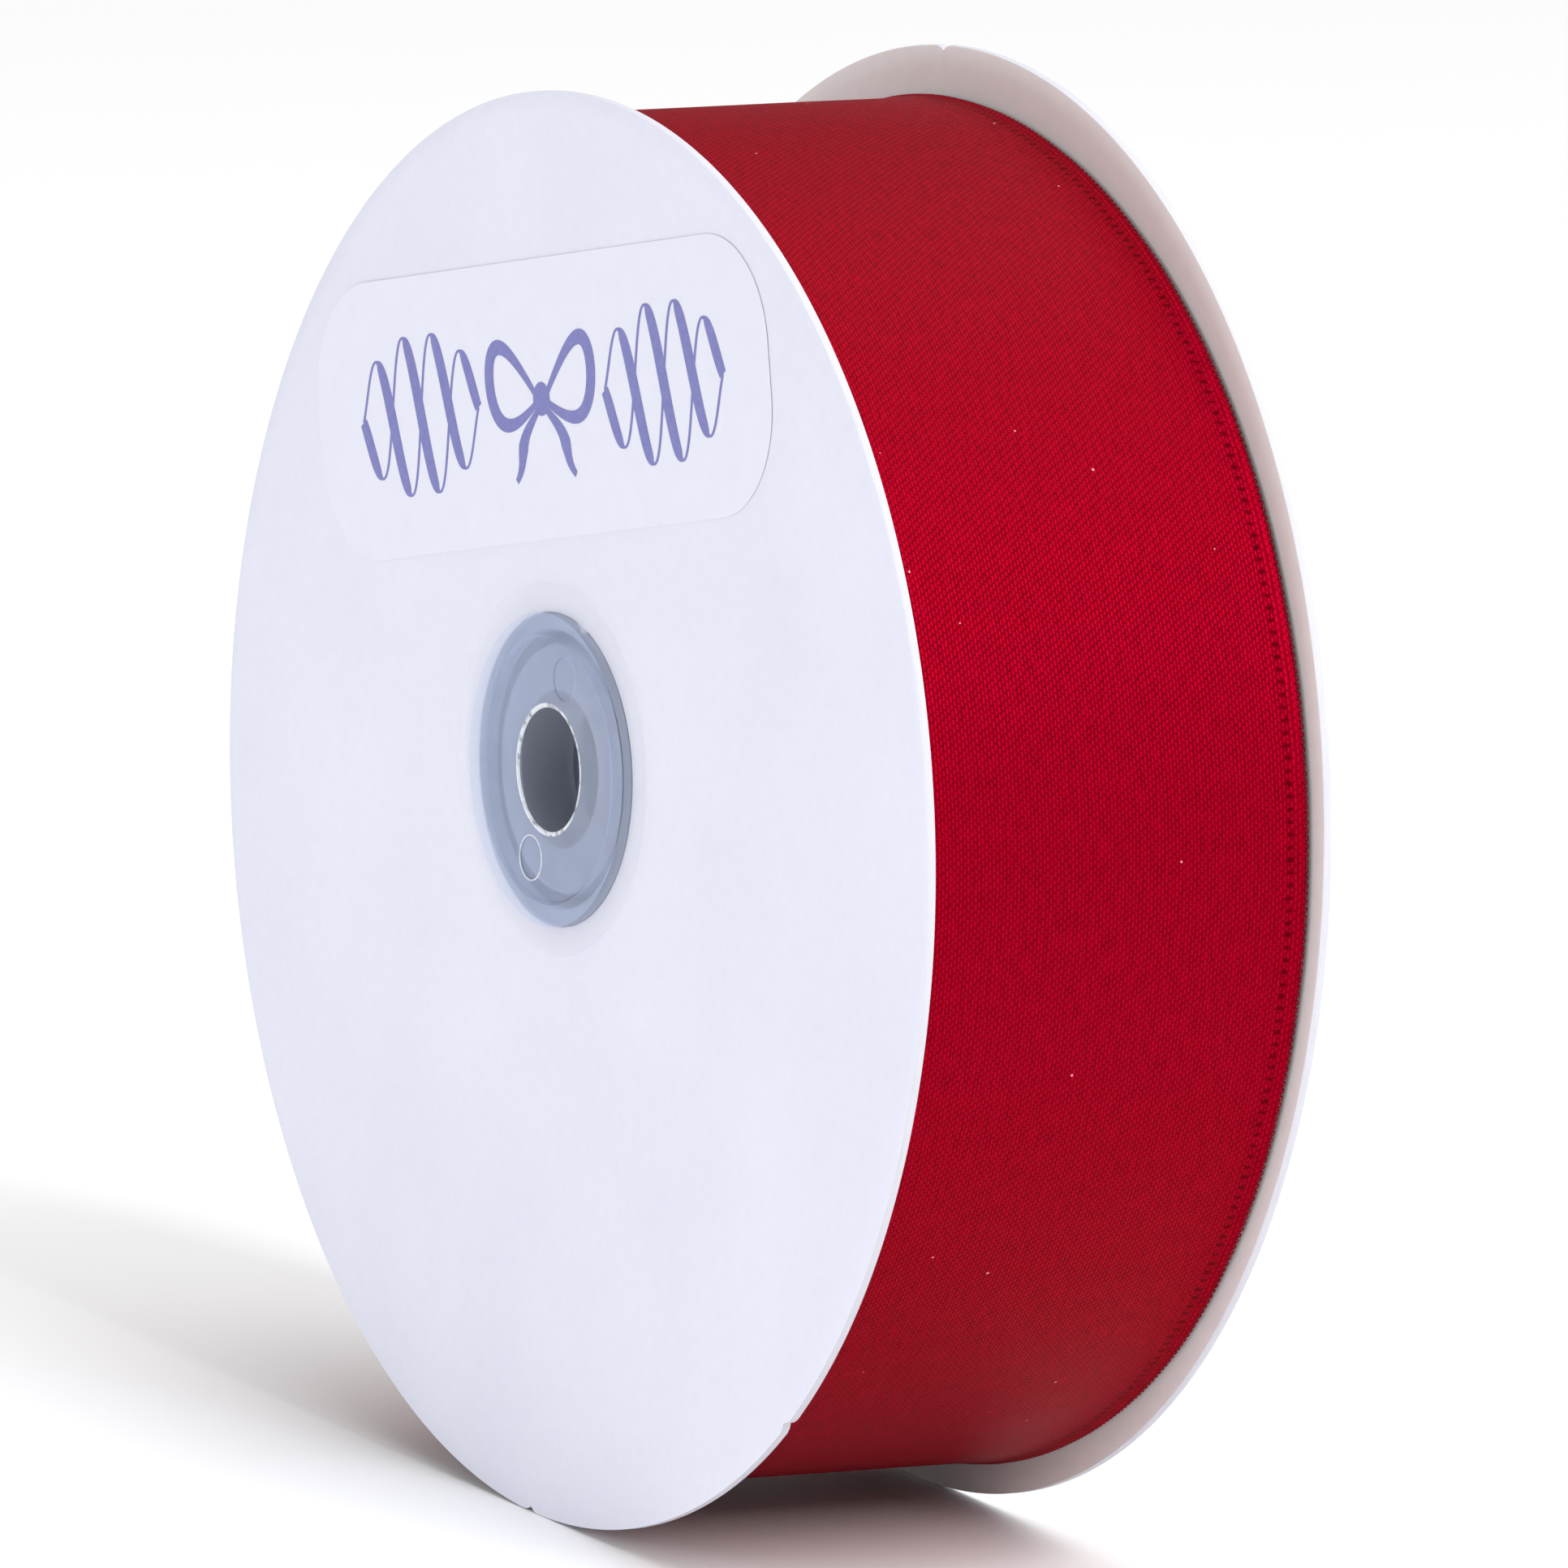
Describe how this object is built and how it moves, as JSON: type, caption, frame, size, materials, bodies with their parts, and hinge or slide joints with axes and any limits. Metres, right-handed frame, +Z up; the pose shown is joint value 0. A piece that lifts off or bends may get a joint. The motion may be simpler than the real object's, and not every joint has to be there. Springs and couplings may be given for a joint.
{
  "type": "ribbon spool",
  "caption": "Round spool of wound satin ribbon between white board flanges, with translucent snap-in hubs for a rod and a liftable ribbon end.",
  "frame": {"origin": "on the table, under the middle of the spool's overall box", "axes": "+Z up; the spool's axis and the rod run along Y; the labelled front flange faces -Y"},
  "size_m": [0.131, 0.0436, 0.1289],
  "materials": {
    "white_board": "coated white paperboard, faint sheen",
    "white_board_back": "coated white paperboard, faint sheen",
    "hub_plastic": "translucent moulded polypropylene",
    "grey_chipboard": "spiral-wound grey chipboard",
    "clear_tape": "clear adhesive tape",
    "ribbon_edges": "selvedges of the wound turns",
    "red_satin": "double-face polyester satin",
    "sticker_film": "pale printed sticker"
  },
  "bodies": {
    "spool": {"front_flange": "white_board", "back_flange": "white_board_back", "front_hub": "hub_plastic", "back_hub": "hub_plastic", "core_tube": "grey_chipboard", "start_tape": "clear_tape", "ribbon_roll": "ribbon_edges", "ribbon_outer_turn": "red_satin", "product_label": "sticker_film"},
    "ribbon_end": {"ribbon_tail": "red_satin", "tail_tape": "clear_tape"}
  },
  "joints": [
    {"name": "tail_lift", "type": "hinge", "parent": "spool", "child": "ribbon_end", "pos_m": [-0.05643, 0, 0.07167], "axis": [0, 1, 0], "range_deg": [0, 75]}
  ]
}
